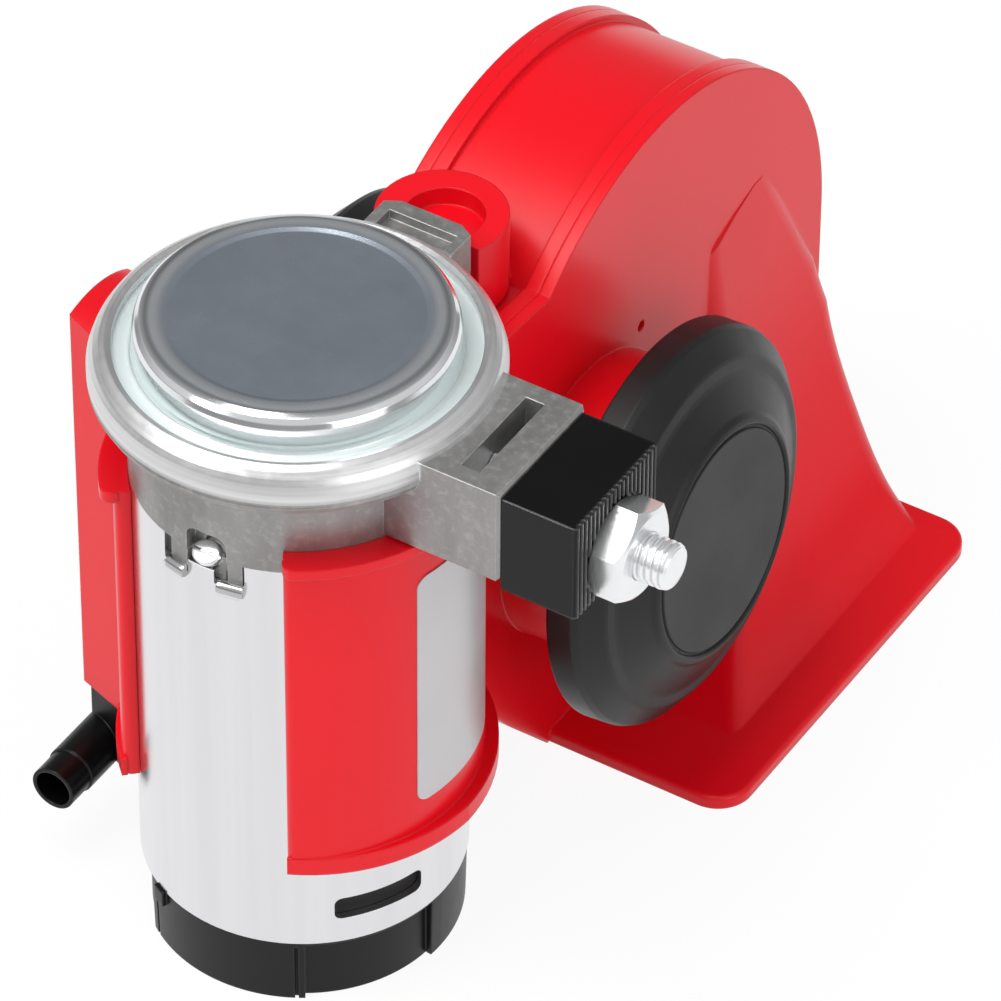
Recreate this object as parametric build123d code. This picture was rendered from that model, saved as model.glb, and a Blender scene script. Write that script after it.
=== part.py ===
from build123d import *
import os
from math import cos, hypot, radians, sin

# Compact air horn: a motor compressor clipped into a moulded twin-chamber horn. Millimetres,
# +Z up. It is laid out with the compressor's axis at x = y = 0 on the floor, +Y towards the
# horn and +X along the mounting stud. At the end all of it is moved, so that the origin is
# the middle of the underside of its bounding box.

# clearances
slip = 0.05               # between pieces that are pushed together
running = 0.04            # shaft in its bushes, on the radius
air_gap = 0.3             # between a turning piece and a still one

# compressor
can_radius = 27.0
can_wall = 1.4
can_length = 80.6
cap_height = 12.9
plug_depth = 15.1         # how far the cap reaches into the can
shaft_radius = 2.5
core_radius = 16.4
core_length = 35.0
magnet_length = 46.0
screw_angle = -89.5       # of the front staking screw, about the can
screw_radius = 2.1        # of its head
rim_reach = 6.0           # how far the rim stands out past the can
chamber_radius = 20.0
chamber_depth = 8.2
plate_thick = 0.9
gasket_thick = 0.5
lid_thick = 0.9
lid_rise = 7.0            # crown of the lid above its flange
crown_inset = 7.3         # from the rim in to the crown's side

# lugs and mounting
lug_half = 12.6
lug_reach = 11.8          # of the lug past the rim
lug_height = 17.5
lug_slot = 3.4
block_length = 13.6
stud_radius = 3.9         # over the thread, on the free end beyond the nut
pitch_radius = 3.6        # half the thread's depth: shank, and where nut and bolt engage
bolt_play = 0.3           # round the stud in the holes it is put through
stud_reach = 24.7         # of the bolt past the lug
hex_across = 14.2
nut_height = 6.8

# horn
clip_wall = 2.5
clip_low = 31.0
wall = 2.2                # moulded wall
horn_half = 13.5          # half width of the middle moulding
drum_radius = 52.7
rim_height = 1.2
rim_width = 2.6
back_depth = 48.6         # from the drum's centre to the foot of the back wall
mouth_half = 51.3
bell_corner = 5.5         # rounding of the bell's four long edges
mouth_gap = 20.0          # from the spine to the mouth flange
flange_thick = 2.4
spiral_radius = 13.1
spiral_wall = 1.8
collar_radius = 10.9

# intake column
column_reach = 14.8       # outer face, past the can
column_front = -3.2
column_back = 14.0
nozzle_radius = 4.3

# tone units on the sides
tone_before = 24.2        # the units' centre is this far before the drum's
tone_below = 6.7          # and this far below it
tone_out = 30.5           # x of the back edge of the black cover, at its centre
tone_tilt = 4.3           # each unit looks slightly upwards, degrees
tone_radius = 34.7
throat_radius = 5.0
tone_step = 9.5           # from the cover's edge in to its pedestal
diaphragm_thick = 0.5
clamp_thick = 1.5

# places that follow from the sizes above
rim_radius = can_radius + rim_reach
crown_radius = rim_radius - crown_inset
lug_end = rim_radius + lug_reach
bolt_tip = lug_end + stud_reach
tone_tower = tone_radius - tone_step
can_top = cap_height + can_length
plug_top = cap_height + plug_depth
core_low = cap_height + 32.1
core_high = core_low + core_length
lug_low = can_top + 5.0
lug_high = lug_low + lug_height
bore_floor = can_top + 6.5
chamber_floor = bore_floor + 6.0
plate_low = chamber_floor + chamber_depth
gasket_low = plate_low + plate_thick
lid_low = gasket_low + gasket_thick
flange_top = lid_low + lid_thick
lid_top = flange_top + lid_rise
bush_low = can_top + 2.9
bush_high = chamber_floor - 1.4
port_z = bore_floor + 2.6
stud_z = lug_low + 4.9
block_end = lug_end + block_length
nut_start = block_end - 1.4
clip_high = lug_low - 0.5
arm_high = clip_high - 6.2
clip_inner = can_radius + slip
clip_outer = clip_inner + clip_wall
spine_front = can_radius + 4.0
drum_y = spine_front + 53.4
drum_z = port_z - 45.4
tube_y = spine_front + 14.5
back_reach = drum_y + back_depth
mouth_front = spine_front + mouth_gap
mouth_back = back_reach + 0.8
passage_y = drum_y + 14.0   # front wall of the straight passages
tone_y = drum_y - tone_before
tone_z = drum_z - tone_below
column_out = -(can_radius + column_reach)
column_in = column_out + 2.0 + 8.8
plate_end = horn_half + wall


def box(x0, x1, y0, y1, z0, z1):
    middle = Pos((x0 + x1) / 2, (y0 + y1) / 2, (z0 + z1) / 2)
    return middle * Box(x1 - x0, y1 - y0, z1 - z0)


def rod(r, z0, z1, x=0, y=0):
    return Pos(x, y, (z0 + z1) / 2) * Cylinder(r, z1 - z0)


def tube(r_out, r_in, z0, z1, x=0, y=0):
    return rod(r_out, z0, z1, x, y) - rod(r_in, z0 - 1, z1 + 1, x, y)


def rod_x(r, x0, x1, y, z):
    return Pos((x0 + x1) / 2, y, z) * (Rot(0, 90, 0) * Cylinder(r, x1 - x0))


def rod_y(r, y0, y1, x, z):
    return Pos(x, (y0 + y1) / 2, z) * (Rot(90, 0, 0) * Cylinder(r, y1 - y0))


def turned(points):
    # solid of revolution about Z from (radius, height) points
    outline = Polyline(*points, close=True)
    return revolve(Plane.XZ * make_face(outline), Axis.Z)


def wedge(reach, start, end, z0, z1):
    # sector about Z between two angles in degrees, under 180 apart
    first = radians(start)
    last = radians(end)
    middle = (first + last) / 2
    far = reach / cos((last - first) / 2)
    outline = Polyline(
        (0, 0),
        (reach * cos(first), reach * sin(first)),
        (far * cos(middle), far * sin(middle)),
        (reach * cos(last), reach * sin(last)),
        close=True,
    )
    return Pos(0, 0, z0) * extrude(make_face(outline), z1 - z0)


def round_about(piece, count):
    return [Rot(0, 0, 360 / count * k) * piece for k in range(count)]


def slab(face, x0, x1):
    # a face drawn in (y, z), as thick as the stretch from x0 to x1
    return Pos(x0, 0, 0) * extrude(Plane.YZ * face, x1 - x0)


def hexagon(x0, x1):
    flat = RegularPolygon(hex_across / 2, 6, major_radius=False, rotation=30)
    return Pos(x0, 0, stud_z) * extrude(Plane.YZ * flat, x1 - x0)


def beside(curve, gap, count):
    # points along a plane curve, moved to its left by gap
    points = []
    for k in range(count + 1):
        spot = curve @ (k / count)
        way = curve % (k / count)
        points.append((spot.X - way.Y * gap, spot.Y + way.X * gap))
    return points


# ------------------------------------------------------------------- can and cap


def motor_can():
    can = tube(can_radius, can_radius - can_wall, cap_height, can_top)
    opening = box(can_radius - 5, can_radius + 5, -7.9, 7.9, cap_height + 5.0, cap_height + 9.5)
    opening = fillet(opening.edges().filter_by(Axis.X), 1.3)
    can -= Rot(0, 0, -29.5) * opening
    # at each staking screw two notches, their metal bent outwards where the clip leaves room
    curl = tube(can_radius + 0.9, can_radius - 0.6, can_top - 6.4, can_top - 5.0)
    for start in (-108.0, -86.4, 72.0, 93.6):
        can -= wedge(can_radius + 10, start, start + 11, can_top - 5.2, can_top + 1)
        if start < 0:
            can += curl & wedge(can_radius + 10, start + 1.5, start + 9.5, 0, can_top)
    for start in (-97.5, 82.5):
        can -= wedge(can_radius + 10, start, start + 12, can_top - 2.6, can_top + 1)
    return can


def bottom_cap():
    skirt_in = 23.6
    plug_out = can_radius - can_wall - slip
    floor_low = cap_height - 2.5
    floor_high = cap_height + 0.3
    boss_top = cap_height + 11.1
    cap = turned([
        (skirt_in, 0), (can_radius - 0.6, 0), (can_radius - 0.3, cap_height),
        (plug_out, cap_height), (plug_out, plug_top), (plug_out - 2.1, plug_top),
        (plug_out - 2.1, boss_top + 0.2), (plug_out - 3.1, boss_top + 0.2),
        (plug_out - 3.1, floor_high), (8.2, floor_high), (8.2, boss_top), (5.0, boss_top),
        (5.0, floor_high + 2.2), (0, floor_high + 2.2), (0, floor_low), (skirt_in, floor_low),
    ])
    recess = tube(can_radius + 10, can_radius - 1.7, -1, cap_height - 0.7)
    for start in (-57, 63, 183):
        cap -= recess & wedge(2 * can_radius, start, start + 51, -1, cap_height)
    for angle in (-60, -122, 60, 180):
        seam = box(can_radius - 1.2, can_radius + 1, -0.3, 0.3, -1, cap_height - 1.2)
        cap -= Rot(0, 0, angle) * seam
    tab = tube(can_radius + 0.5, can_radius - 1.5, cap_height - 3.3, cap_height - 0.3)
    cap += tab & wedge(can_radius + 10, -120, -114.5, 0, cap_height)
    for side in (-1, 1):
        blade = terminal(side, slip)
        cap -= blade
    return cap


def terminal(side, spare=0.0):
    # blade terminal, 6.3 x 0.8
    half = 3.15 + spare
    thin = 0.4 + spare
    blade = box(-half, half, -thin, thin, 1.6 - spare, cap_height + 11.0)
    if spare == 0:
        blade = chamfer(blade.edges().filter_by(Axis.Y).sort_by(Axis.Z)[:2], 1.2)
        blade -= rod_y(0.9, -2, 2, 0, 5.4)
    return Pos(0, side * 14.4, 0) * blade


# ------------------------------------------------------------------- motor


def motor_shaft():
    foot = cap_height + 2.5 + air_gap
    shaft = rod(shaft_radius, foot, plate_low - 1.1)
    return chamfer(shaft.edges().sort_by(Axis.Z)[0], 0.6)


def slots(count, spare):
    # the winding's bars run in the core's slots
    bar = box(8.3 - spare, 14.5 + spare, -1.8 - spare, 1.8 + spare, core_low - 1, core_high + 1)
    return round_about(bar, count)


def armature_core():
    core = tube(core_radius, shaft_radius, core_low, core_high)
    mouth = box(14, core_radius + 1, -0.9, 0.9, core_low - 1, core_high + 1)
    for piece in slots(8, 0.2) + round_about(mouth, 8):
        core -= piece
    return core


def armature_winding():
    turns = tube(14.6, 6.6, core_low - 8, core_low - 0.1)
    turns += tube(14.6, 6.6, core_high + 0.1, core_high + 8)
    for piece in slots(8, 0):
        turns += piece
    return turns


commutator_low = cap_height + 15.1
commutator_high = commutator_low + 8.0


def commutator():
    ring = tube(6.6, shaft_radius, commutator_low, commutator_high)
    cut = box(5.9, 8, -0.3, 0.3, commutator_low - 1, commutator_high + 1)
    for piece in round_about(cut, 8):
        ring -= Rot(0, 0, 22.5) * piece
    return ring


def magnet(angle):
    middle = (core_low + core_high) / 2
    low = middle - magnet_length / 2
    ring = tube(can_radius - can_wall, core_radius + 0.8, low, low + magnet_length)
    return ring & wedge(60, angle - 58, angle + 58, low - 1, low + magnet_length + 1)


def brush_holder():
    low = cap_height + 11.3
    holder = tube(can_radius - can_wall - slip - 2.15, 9.0, low, low + 2)
    for side in (0, 180):
        guide = box(8.6, 16.0, -3.9, 3.9, low + 1.9, low + 10.4)
        guide -= box(8, 14.6, -2.5, 2.5, low + 4.2, low + 9.0)
        holder += Rot(0, 0, side) * guide
    return holder


def brush(side):
    low = cap_height + 15.5
    carbon = box(6.6 + air_gap, 14.4, -2.45, 2.45, low + 0.05, low + 4.75)
    return Rot(0, 0, side) * carbon


# ------------------------------------------------------------------- head and pump


def head_casting():
    inner = can_radius - can_wall - 3.0
    seat = rim_radius - 2.1
    head = turned([
        (can_radius - can_wall - slip, can_top - 5.1), (can_radius - can_wall - slip, can_top),
        (can_radius, can_top), (can_radius, plate_low - 7.8), (can_radius + 0.5, plate_low - 5.9),
        (can_radius + 2.2, plate_low - 4.7), (rim_radius - 0.8, plate_low - 3.8),
        (rim_radius - 0.4, plate_low - 3.0), (rim_radius - 0.1, plate_low - 2.5),
        (rim_radius - 0.3, plate_low - 2.0), (rim_radius, plate_low - 1.6),
        (rim_radius, plate_low + 0.2), (rim_radius - 0.2, plate_low + 0.8),
        (rim_radius - 0.5, flange_top - 0.6), (rim_radius - 1.1, flange_top + 0.4),
        (rim_radius - 2.0, flange_top + 1.3), (rim_radius - 3.0, flange_top + 1.9),
        (rim_radius - 3.9, flange_top + 1.6), (rim_radius - 3.9, flange_top),
        (seat, flange_top), (seat, plate_low), (chamber_radius, plate_low),
        (chamber_radius, chamber_floor), (shaft_radius + 0.5, chamber_floor),
        (shaft_radius + 0.5, bush_high), (5.5, bush_high), (5.5, bush_low), (9.0, bush_low),
        (9.8, bore_floor), (inner - 1.1, bore_floor), (inner, bore_floor - 1.4),
        (inner, can_top - 5.1),
    ])
    lug_x = box(inner + 0.2, lug_end, -lug_half, lug_half, lug_low, lug_high)
    end = spine_front + 8.4
    lug_x = chamfer(lug_x.faces().sort_by(Axis.X)[-1].edges(), 0.5)
    outline = Polyline(
        (-8.4, inner + 1.4), (7.9, inner + 1.4), (7.9, end - 1.4), (5.4, end), (-5.9, end),
        (-8.4, end - 1.4), close=True,
    )
    lug_y = Pos(0, 0, lug_low) * extrude(make_face(outline), lug_high - lug_low)
    head += (lug_x + lug_y) - rod(seat, plate_low, lid_top + 5)
    slot_x = lug_end - 8.8
    head -= box(slot_x, slot_x + lug_slot, -9.4, 9.4, lug_low - 1, lug_high + 1)
    head -= box(-6.5, 6.3, spine_front + 1.6, spine_front + 5.6, lug_high - 1.7, lug_high + 1)
    head -= rod_x(stud_radius + bolt_play, slot_x + 1, lug_end + 2, 0, stud_z)
    head += rod_y(3.0, spine_front + 8, spine_front + 11.6, 0, port_z)
    head += rod_x(3.0, column_in - 0.4, 1 - can_radius, 4.0, port_z)
    head -= rod_y(1.6, 11, spine_front + 15, 0, port_z) + rod(1.8, port_z, chamber_floor + 1, 0, 12.5)
    head -= rod_x(1.6, column_in - 3, -11, 4.0, port_z) + rod(1.8, port_z, chamber_floor + 1, -12.0, 4.0)
    claws = tube(can_radius, can_radius - can_wall - 0.5, can_top - 4.8, can_top + 1)
    for side in (0, 180):
        for first, last in ((-104.4, -97.2), (-81.2, -76.0)):
            head += claws & wedge(can_radius + 10, first + side, last + side, 0, can_top + 2)
        arch = box(can_radius - 2.8, can_radius + 2, -3.7, 3.7, can_top - 0.5, can_top + 2.6)
        arch += rod_x(2.0, can_radius - 2.8, can_radius + 2, -1.7, can_top + 2.6)
        arch += rod_x(2.0, can_radius - 2.8, can_radius + 2, 1.7, can_top + 2.6)
        arch += box(can_radius - 2.8, can_radius + 2, -1.7, 1.7, can_top, can_top + 4.6)
        head -= Rot(0, 0, screw_angle + side) * arch
        sunk = rod_x(screw_radius + slip, 0, 3.4, 0, 0) + rod_x(1.25, -3.4, 1, 0, 0)
        head -= staked(sunk, screw_angle + side)
    return head


def staked(shape, angle):
    # the screws stand at a slant in the neck, their heads looking up and outwards
    return Rot(0, 0, angle) * (Pos(can_radius - 2.3, 0, can_top - 0.6) * (Rot(0, -55, 0) * shape))


def head_screw(angle):
    top = rod_x(screw_radius, 0, 1.0, 0, 0)
    top = fillet(top.edges().sort_by(Axis.X)[-1], 0.4)
    return staked(top + rod_x(1.2, -2.6, 0.1, 0, 0), angle)


def pump_wheel():
    tip = chamber_radius - 0.6
    low = chamber_floor + 1.0
    high = plate_low - 1.5
    wheel = tube(8.0, shaft_radius, chamber_floor + 0.5, plate_low - 0.9)
    wheel += tube(tip, 7.5, (low + high) / 2 - 0.65, (low + high) / 2 + 0.65)
    vane = box(chamber_radius - 6.4, tip - 0.1, -0.55, 0.55, low, high)
    for piece in round_about(vane, 20):
        wheel += piece
    return wheel


def pump_lid():
    flange_radius = rim_radius - 2.2
    return turned([
        (0, lid_top - 0.4), (crown_radius - 5.5, lid_top - 0.4), (crown_radius - 4.6, lid_top - 0.1),
        (crown_radius - 3.3, lid_top), (crown_radius - 2.1, lid_top - 0.1),
        (crown_radius - 1.1, lid_top - 0.5), (crown_radius - 0.4, lid_top - 1.2),
        (crown_radius, lid_top - 2.1), (crown_radius + 0.2, flange_top + 1.6),
        (crown_radius + 0.4, flange_top + 0.6), (crown_radius + 1.0, flange_top),
        (flange_radius, flange_top), (flange_radius, lid_low), (crown_radius + 0.2, lid_low),
        (crown_radius - 0.6, lid_low + 1.0), (crown_radius - 0.9, lid_top - 2.3),
        (crown_radius - 1.6, lid_top - 1.3), (crown_radius - 2.6, lid_top - 1.0),
        (crown_radius - 4.4, lid_top - 1.0), (crown_radius - 5.4, lid_top - 1.3), (0, lid_top - 1.3),
    ])


# ------------------------------------------------------------------- block, bolt and nut


def mounting_block():
    block = box(lug_end, block_end, -12.0, 12.0, lug_low - 1.9, lug_high - 1.0)
    outer = block.edges().filter_by(Axis.Z).sort_by(Axis.X)[-2:]
    block = chamfer(outer, 0.6)
    for k in range(19):
        y = 1.2 * (k - 9)
        block -= box(block_end - 0.6, block_end + 1, y - 0.35, y + 0.35, lug_low - 9, lug_high + 9)
    block -= rod_x(hex_across * 0.58 + 0.4, nut_start, block_end + 1, 0, stud_z)
    block -= rod_x(stud_radius + bolt_play, lug_end - 1, block_end + 1, 0, stud_z)
    for side in (-1, 1):
        hollow = box(lug_end + 3.2, lug_end + 9.2, 6.0, 9.4, lug_low - 3, lug_high - 8)
        block -= hollow if side > 0 else mirror(hollow, Plane.XZ)
    return block


def mounting_bolt():
    head_x = lug_end - 8.8 + slip
    nut_end = nut_start + nut_height
    shank = rod_x(pitch_radius, head_x + 1, nut_end + 0.1, 0, stud_z)
    stud = rod_x(stud_radius, nut_end, bolt_tip, 0, stud_z)
    stud = chamfer(stud.edges().sort_by(Axis.X)[-1], 0.7)
    return shank + stud + hexagon(head_x, head_x + lug_slot - 0.3)


def mounting_nut():
    body = hexagon(nut_start, nut_start + nut_height)
    cone = turned([
        (0, 0), (hex_across / 2 + 0.1, 0), (hex_across * 0.58, 0.6), (hex_across * 0.58, nut_height - 0.6),
        (hex_across / 2 + 0.1, nut_height), (0, nut_height),
    ])
    body &= Pos(nut_start, 0, stud_z) * (Rot(0, 90, 0) * cone)
    return body - rod_x(pitch_radius + 0.02, nut_start - 1, nut_start + nut_height + 1, 0, stud_z)


# ------------------------------------------------------------------- outlines of the horn


def drum_at(angle, radius):
    return (drum_y + radius * cos(radians(angle)), drum_z + radius * sin(radians(angle)))


def snail(grow):
    # side outline in (y, z): a round drum with a spine on the left and a straight back
    top_left = drum_at(130.8, drum_radius)
    corner = (spine_front + 2.4, top_left[1] + 1.1)
    outline = Polyline(
        (drum_y + drum_radius, drum_z), (drum_y + drum_radius, drum_z - 19.2), (back_reach, 0),
        (mouth_front + 1, 0), (spine_front + 9, 13.2), (spine_front, 24.0),
        (spine_front, corner[1] - 2.4), corner, top_left,
    )
    face = make_face(outline + ThreePointArc(top_left, drum_at(60, drum_radius), outline @ 0))
    if grow:
        face = offset(face, grow, kind=Kind.INTERSECTION)
    return face


def front_curve():
    # front of the bell, from the mouth up to where it is a straight passage
    steps = (
        (-40.4, 0.02), (-22.9, 0.10), (-15.4, 0.19), (-8.4, 0.35), (-2.4, 0.56), (-0.2, 0.78),
        (0, 1.04),
    )
    return Spline(*[(passage_y + before, share * drum_z) for before, share in steps])


def side_curve():
    # half width of the bell, (x, z)
    steps = (
        (31.0, 0.02), (22.2, 0.10), (18.0, 0.19), (12.8, 0.35), (7.4, 0.55), (3.6, 0.77),
        (1.4, 1.04), (0, 1.36),
    )
    return Spline(*[(plate_end + beyond, share * drum_z) for beyond, share in steps])


def bell(inside):
    # where the passage widens out of the drum: a flare in both directions, cut from two profiles
    down = -5 if inside else 0
    front = Spline(*beside(front_curve(), -inside, 10)) if inside else front_curve()
    side = Spline(*beside(side_curve(), inside, 10)) if inside else side_curve()
    start = front @ 0
    back = back_reach - inside
    over = [(back - 2.2, drum_z * 1.04), (back + 2.5, drum_z * 0.84), (back + 4.1, drum_z - 19.2)]
    if not inside:
        over = [
            (passage_y - 0.6, drum_z * 1.16), (passage_y + 0.9, drum_z * 1.24),
            (passage_y + 10.1, drum_z * 1.31), (passage_y + 16.6, drum_z * 1.345),
            (passage_y + 22.0, drum_z * 1.345), (passage_y + 26.4, drum_z * 1.26),
        ] + over
    profile = make_face([front, Polyline(front @ 1, *over, (back, down), (start.X, down), start)])
    foot = side @ 0
    tip = side @ 1
    half = make_face([side, Polyline(tip, (0, tip.Y), (0, down), (foot.X, down), foot)])
    right = Pos(0, 200, 0) * extrude(Plane.XZ * half, 200)
    flare = slab(profile, -60, 60) & (right + mirror(right, Plane.YZ))
    corners = [
        edge for edge in flare.edges().filter_by(lambda e: e.length > 8)
        if abs(edge.center().X) > plate_end - 1 and 3 < edge.center().Z < drum_z * 1.1
    ]
    return fillet(corners, bell_corner - 0.7 * inside)


def mouth_flange():
    flange = box(-mouth_half, mouth_half, mouth_front, mouth_back, 0, flange_thick)
    flange = fillet(flange.edges().filter_by(Axis.Z), 6.5)
    return fillet(flange.faces().sort_by(Axis.Z)[-1].edges(), 0.8)


def half_ring(left, radius, level, side):
    # upper or lower half of a ring of wall whose leftmost point is given
    centre = Pos(left + radius, level)
    ring = Circle(radius + spiral_wall / 2) - Circle(radius - spiral_wall / 2)
    return centre * (ring & (Pos(0, side * radius) * Rectangle(4 * radius, 2 * radius)))


def spiral():
    # wall that winds each passage from the throat out to the bell's front wall
    level = tone_z - 2.5
    left = passage_y + 0.4 - 4 * spiral_radius
    lip = tone_y - 1.6
    face = half_ring(left, spiral_radius, level, -1)
    face += half_ring(left, 2 * spiral_radius, level, 1)
    face += half_ring(lip, left / 2 + spiral_radius - lip / 2, level, 1)
    face -= Pos(lip + 2, level + 5) * Rectangle(6.5, 10)
    face += Pos(left + 4 * spiral_radius, level - 4) * Rectangle(spiral_wall, 8.2)
    return slab(face, -horn_half, horn_half)


above_floor = Pos(100, 150) * Rectangle(300, 300)


# ------------------------------------------------------------------- horn mouldings


def horn_body():
    middle = box(-horn_half, horn_half, 0, 200, -5, 200)
    core = snail(-wall)
    body = slab(snail(0) - core, -horn_half, horn_half)
    rim = (snail(rim_height) & above_floor) - core
    for x in (-horn_half, horn_half - rim_width):
        body += slab(rim, x, x + rim_width)
    front_wall = bell(0) & box(-horn_half, horn_half, spine_front, passage_y + 2.6, 0, drum_z * 0.75)
    body += front_wall + (mouth_flange() & middle)
    body -= bell(wall)
    body += slab(snail(0), -0.9, 0.9)
    body += spiral()
    body += rod(4.4, tone_z + 4.5, clip_high, 0, tube_y)
    body += rod_x(4.0, -horn_half, horn_half, tube_y, tone_z + 9)
    body += clip() + column() + spine_bridge() + collar()
    body -= column_room(0, 0, clip_high + 5.4)
    # room for the compressor's lug, then the air gallery and the two spigot seats
    body -= box(-8.9, 8.4, 20, spine_front + 8.8, clip_high, clip_high + 40)
    body -= rod(2.6, tone_z + 7.5, port_z + 2.9, 0, tube_y)
    body -= rod_x(2.0, -20, 20, tube_y, tone_z + 9)
    body -= rod_y(3.0 + slip, spine_front + 8, tube_y, 0, port_z)
    body -= rod_y(4.3, spine_front + 8, spine_front + 10.6, 0, port_z)
    body -= rod_x(3.0 + slip, column_in - 1.3, -20, 4.0, port_z)
    return body


def clip():
    # the arm on the column's side ends lower, below the head's edge
    front = wedge(2 * can_radius, -135, -62, 0, 150)
    arm = box(-2 * can_radius, -5, -2 * can_radius, column_front, 0, 150)
    cut_away = front + (arm & box(-60, 0, -60, 60, arm_high, 150))
    shell = tube(clip_outer, clip_inner, clip_low, clip_high) - cut_away
    shell = fillet(upright(shell, clip_outer - 0.5), 1.4)
    lip = tube(clip_outer + 2.2, clip_outer - 0.5, clip_high - 2.0, clip_high)
    arm_lip = (Pos(0, 0, arm_high - clip_high) * lip & arm) - front
    top_lip = lip - arm - front
    # the low lip runs out towards its front ends
    low_lip = rod(clip_outer + 2.3, clip_low, clip_low + 3.4, 0, 2.5) & rod(clip_outer + 2.2, 0, 60)
    low_lip -= rod(clip_outer - 0.5, 0, 60) + front
    for piece in (top_lip, arm_lip):
        shell += fillet([e for e in upright(piece, clip_outer) if e.center().Y < -12], 2.1)
    return shell + low_lip


def upright(shape, reach):
    # edges parallel to Z that lie farther than reach from the axis
    return [e for e in shape.edges().filter_by(Axis.Z) if hypot(e.center().X, e.center().Y) > reach]


def column_room(spare, low, high):
    # the hollow of the column, less what a piece inside it leaves free all round
    return box(column_out + 2 + spare, column_in - spare, column_front + 2 + spare,
               column_back - 2 - spare, low, high)


def column_plan(inset):
    # outline with a slanted front, running into the clip
    left = column_out + inset
    return make_face(Polyline(
        (left, column_back - inset), (left, column_front + 1.0 + inset),
        (-can_radius - 2, column_front - 3.3 + inset), (-can_radius, column_back - inset), close=True,
    ))


def column():
    # housing of the intake filter, open below
    high = clip_high + 8.4
    post = Pos(0, 0, clip_low - 4) * extrude(column_plan(0), high + 10 - clip_low)
    crest = [(column_front - 5, high - 3.6), ((column_front + column_back) / 2 + 2, high),
             (column_back + 2, high - 3.9)]
    below = Polyline(crest[2], (column_back + 2, 0), (column_front - 5, 0), crest[0])
    post &= slab(make_face(ThreePointArc(*crest) + below), column_out - 1, 0)
    return post - rod(clip_inner, 0, 150) - rod(can_radius + 4.2, clip_high, 150)


def spine_bridge():
    joint = box(-13, 13, can_radius + 0.5, spine_front + 1.6, clip_low, clip_high)
    return joint - rod(clip_inner, 0, 150)


def collar():
    y = tube_y - 1.0
    cup = rod(collar_radius, clip_high, port_z + 9.4, -1.6, y)
    return cup - rod(collar_radius - 4.3, port_z + 6.0, port_z + 10, -1.0, y)


def tone_unit(shape):
    # pieces of a tone unit are drawn upright and then laid along its tilted axis
    return Pos(tone_out, tone_y, tone_z) * (Rot(0, 90 - tone_tilt, 0) * shape)


def horn_cover():
    outside = box(horn_half, 80, 0, 200, -5, 200)
    cover = slab(snail(rim_height) & above_floor, horn_half, plate_end)
    cover += bell(0) & outside
    cover += mouth_flange() & outside
    tower = rod(tone_tower, -20, 0.5) + rod(tone_radius - 2.4 - slip, 0, 3.0)
    cover += tone_unit(tower) & outside
    cover -= bell(wall)
    cover -= tone_unit(tube(tone_tower - 3.4, throat_radius + 3.2, -12, 4))
    cover -= tone_unit(rod(throat_radius + 4, 2.6, 4) + rod(throat_radius, -20, 4))
    cover -= rod_x(2.0, horn_half - 1, 24, tube_y, tone_z + 9)
    # mark of a moulding pin
    cover -= rod_x(1.0, plate_end - 0.9, plate_end + 1, drum_y - 6.0, drum_z + 14.7)
    return cover


def disc_cover():
    # a cap with a rounded rim, a chamfered ring, a cone and a slightly sunk plateau
    hold = tone_radius - 2.4
    seat = 3 + diaphragm_thick + clamp_thick
    outside = [
        (0, 0), (0.1, 4.4), (0.6, 5.6), (4.1, 8.4), (4.7, 8.7), (6.5, 9.0), (7.3, 9.3), (12.7, 12.0),
        (13.5, 12.7), (14.3, 13.0), (14.7, 12.8), (14.9, 12.3), (15.3, 12.3), (15.5, 12.8),
    ]
    points = [(tone_radius - inward, out) for inward, out in outside]
    points += [
        (0, 12.8), (0, 10.6), (tone_radius - 16.5, 10.6), (tone_radius - 10.1, 7.2),
        (tone_radius - 9.4, seat), (hold, seat), (hold, 0),
    ]
    return tone_unit(turned(points))


def diaphragm():
    return tone_unit(rod(tone_radius - 2.4 - slip, 3.0, 3.0 + diaphragm_thick))


def clamp_ring():
    low = 3.0 + diaphragm_thick
    return tone_unit(tube(tone_radius - 2.4 - slip, tone_radius - 9.3, low, low + clamp_thick))


# ------------------------------------------------------------------- intake and label


def intake_elbow():
    nozzle_z = clip_low - 15.0
    nozzle_x = column_out + 3.5
    foot = clip_low - 4
    elbow = Pos(0, 0, nozzle_z - 4.2) * extrude(column_plan(0.8), foot - nozzle_z + 4.2)
    elbow &= box(column_out, column_in - 1.2, -10, 10.0, nozzle_z - 6, foot + 1)
    elbow = fillet(elbow.edges().group_by(Axis.Z)[0], 2.0)
    elbow += column_room(slip, foot, foot + 9)
    elbow += rod_y(nozzle_radius, -11.7, 2, nozzle_x, nozzle_z)
    elbow += rod_y(nozzle_radius - 0.3, -17.0, -11, nozzle_x, nozzle_z)
    elbow -= rod_y(nozzle_radius - 1.0, -20, 6, nozzle_x, nozzle_z)
    elbow -= box(nozzle_x - 2, nozzle_x + 3, 1.0, 8.0, nozzle_z, foot + 1)
    return elbow - column_room(1.4, foot, foot + 20)


def intake_filter():
    return column_room(slip, clip_low + 5, clip_high - 3)


def label():
    skin = tube(clip_outer + 0.2, clip_outer + 0.02, clip_low, clip_high)
    patch = Pos(20, 0, clip_low + 33.5) * (Rot(0, 90, 0) * extrude(RectangleRounded(48, 21.5, 2.2), 20))
    return skin & (Rot(0, 0, 2.5) * patch)


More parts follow.
